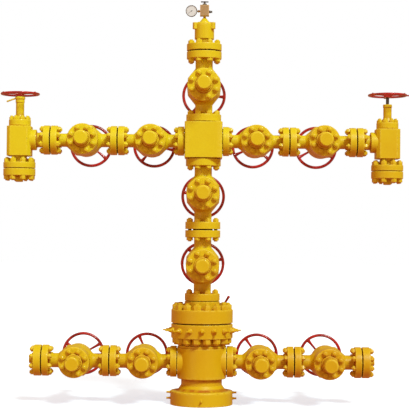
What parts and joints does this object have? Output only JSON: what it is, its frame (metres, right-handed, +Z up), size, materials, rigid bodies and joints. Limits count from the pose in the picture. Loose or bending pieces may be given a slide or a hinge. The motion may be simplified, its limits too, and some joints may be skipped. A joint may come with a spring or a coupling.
{
  "type": "oil wellhead valve stack",
  "caption": "Flanged oil wellhead tree: casing head, master valves, cross with valved wings and angle chokes, swab valve and tree cap with gauge.",
  "frame": {"origin": "centre of the casing bore's mouth, on the underside of the casing head", "axes": "+Z up the vertical run, +X along the wings to the right, +Y along the gate valves' stems towards their handwheels"},
  "size_m": [3.3655, 1.12, 3.313],
  "materials": {
    "yellow_paint": "semi-gloss enamel, worn at edges",
    "red_enamel": "gloss enamel",
    "dark_steel": "oiled steel",
    "bronze": "dull",
    "gauge": "white dial in a thin dark case"
  },
  "bodies": {
    "tree": {"base_lock_screws": "yellow_paint", "base_ring": "yellow_paint", "cap_flange": "yellow_paint", "cap_plug": "yellow_paint", "cap_union_nut": "yellow_paint", "casing_head": "yellow_paint", "choke_left_body": "yellow_paint", "choke_left_bonnet": "yellow_paint", "choke_left_outlet": "yellow_paint", "choke_right_body": "yellow_paint", "choke_right_bonnet": "yellow_paint", "choke_right_outlet": "yellow_paint", "cross_block": "yellow_paint", "head_lock_screws": "yellow_paint", "lower_left_bonnets": "yellow_paint", "lower_left_end_flange": "yellow_paint", "lower_left_inner_body": "yellow_paint", "lower_left_outer_body": "yellow_paint", "lower_left_plug": "yellow_paint", "lower_master_body": "yellow_paint", "lower_right_bonnets": "yellow_paint", "lower_right_end_flange": "yellow_paint", "lower_right_inner_body": "yellow_paint", "lower_right_outer_body": "yellow_paint", "lower_right_plug": "yellow_paint", "needle_valve_block": "bronze", "pressure_gauge": "gauge", "run_bonnets": "yellow_paint", "swab_body": "yellow_paint", "test_valve": "yellow_paint", "tubing_adapter": "yellow_paint", "upper_left_bonnets": "yellow_paint", "upper_left_inner_body": "yellow_paint", "upper_left_outer_body": "yellow_paint", "upper_master_body": "yellow_paint", "upper_right_bonnets": "yellow_paint", "upper_right_inner_body": "yellow_paint", "upper_right_outer_body": "yellow_paint"},
    "lower_master_wheel": {"lower_master_handwheel": "red_enamel"},
    "upper_master_wheel": {"upper_master_handwheel": "red_enamel"},
    "swab_wheel": {"swab_handwheel": "red_enamel"},
    "upper_left_inner_wheel": {"upper_left_inner_handwheel": "red_enamel"},
    "lower_left_inner_wheel": {"lower_left_inner_handwheel": "red_enamel"},
    "upper_left_outer_wheel": {"upper_left_outer_handwheel": "red_enamel"},
    "lower_left_outer_wheel": {"lower_left_outer_handwheel": "red_enamel"},
    "upper_right_inner_wheel": {"upper_right_inner_handwheel": "red_enamel"},
    "lower_right_inner_wheel": {"lower_right_inner_handwheel": "red_enamel"},
    "upper_right_outer_wheel": {"upper_right_outer_handwheel": "red_enamel"},
    "lower_right_outer_wheel": {"lower_right_outer_handwheel": "red_enamel"},
    "choke_left_lift_body": {"choke_left_stem": "dark_steel"},
    "choke_left_wheel_body": {"choke_left_handwheel": "red_enamel"},
    "choke_right_lift_body": {"choke_right_stem": "dark_steel"},
    "choke_right_wheel_body": {"choke_right_handwheel": "red_enamel"},
    "choke_left_lock_body": {"choke_left_lock": "yellow_paint"},
    "needle_lift_body": {"needle_valve_stem": "dark_steel"},
    "needle_handle_body": {"needle_valve_handle": "dark_steel"},
    "test_lever_body": {"test_valve_lever": "red_enamel"}
  },
  "joints": [
    {"name": "lower_master_turn", "type": "hinge", "parent": "tree", "child": "lower_master_wheel", "pos_m": [0, 0, 1.136], "axis": [0, 1, 0], "range_deg": [0, 7290]},
    {"name": "upper_master_turn", "type": "hinge", "parent": "tree", "child": "upper_master_wheel", "pos_m": [0, 0, 1.722], "axis": [0, 1, 0], "range_deg": [0, 7290]},
    {"name": "swab_turn", "type": "hinge", "parent": "tree", "child": "swab_wheel", "pos_m": [0, 0, 2.603], "axis": [0, 1, 0], "range_deg": [0, 7290]},
    {"name": "upper_left_inner_turn", "type": "hinge", "parent": "tree", "child": "upper_left_inner_wheel", "pos_m": [-0.4295, 0, 2.1555], "axis": [0, 1, 0], "range_deg": [0, 6210]},
    {"name": "lower_left_inner_turn", "type": "hinge", "parent": "tree", "child": "lower_left_inner_wheel", "pos_m": [-0.477, 0, 0.35], "axis": [0, 1, 0], "range_deg": [0, 6210]},
    {"name": "upper_left_outer_turn", "type": "hinge", "parent": "tree", "child": "upper_left_outer_wheel", "pos_m": [-0.9805, 0, 2.1555], "axis": [0, 1, 0], "range_deg": [0, 6210]},
    {"name": "lower_left_outer_turn", "type": "hinge", "parent": "tree", "child": "lower_left_outer_wheel", "pos_m": [-1.031, 0, 0.35], "axis": [0, 1, 0], "range_deg": [0, 6210]},
    {"name": "upper_right_inner_turn", "type": "hinge", "parent": "tree", "child": "upper_right_inner_wheel", "pos_m": [0.4295, 0, 2.1555], "axis": [0, 1, 0], "range_deg": [0, 6210]},
    {"name": "lower_right_inner_turn", "type": "hinge", "parent": "tree", "child": "lower_right_inner_wheel", "pos_m": [0.477, 0, 0.35], "axis": [0, 1, 0], "range_deg": [0, 6210]},
    {"name": "upper_right_outer_turn", "type": "hinge", "parent": "tree", "child": "upper_right_outer_wheel", "pos_m": [0.9805, 0, 2.1555], "axis": [0, 1, 0], "range_deg": [0, 6210]},
    {"name": "lower_right_outer_turn", "type": "hinge", "parent": "tree", "child": "lower_right_outer_wheel", "pos_m": [1.031, 0, 0.35], "axis": [0, 1, 0], "range_deg": [0, 6210]},
    {"name": "choke_left_lift", "type": "slide", "parent": "tree", "child": "choke_left_lift_body", "axis": [0, 0, 1], "range_m": [0, 0.0345]},
    {"name": "choke_left_turn", "type": "hinge", "parent": "choke_left_lift_body", "child": "choke_left_wheel_body", "pos_m": [-1.512, 0, 2.1555], "axis": [0, 0, 1], "range_deg": [0, 2070]},
    {"name": "choke_right_lift", "type": "slide", "parent": "tree", "child": "choke_right_lift_body", "axis": [0, 0, 1], "range_m": [-0.0345, 0]},
    {"name": "choke_right_turn", "type": "hinge", "parent": "choke_right_lift_body", "child": "choke_right_wheel_body", "pos_m": [1.512, 0, 2.1555], "axis": [0, 0, 1], "range_deg": [-2070, 0]},
    {"name": "choke_left_lock_turn", "type": "hinge", "parent": "tree", "child": "choke_left_lock_body", "pos_m": [-1.512, 0, 2.1555], "axis": [0, 0, 1], "range_deg": [0, 60]},
    {"name": "needle_valve_lift", "type": "slide", "parent": "tree", "child": "needle_lift_body", "axis": [0, 0, 1], "range_m": [0, 0.00713]},
    {"name": "needle_valve_turn", "type": "hinge", "parent": "needle_lift_body", "child": "needle_handle_body", "pos_m": [0, 0, 2.896], "axis": [0, 0, 1], "range_deg": [0, 1710]},
    {"name": "test_valve_turn", "type": "hinge", "parent": "tree", "child": "test_lever_body", "pos_m": [0.16723, 0.16723, 0.815], "axis": [0.7071, 0.7071, 0], "range_deg": [0, 90]}
  ],
  "couplings": [
    {"joint": "choke_left_lift", "follows": "choke_left_turn", "m_per_rad": 0.00095493},
    {"joint": "choke_right_lift", "follows": "choke_right_turn", "m_per_rad": 0.00095493},
    {"joint": "needle_valve_lift", "follows": "needle_valve_turn", "m_per_rad": 0.00023873}
  ]
}
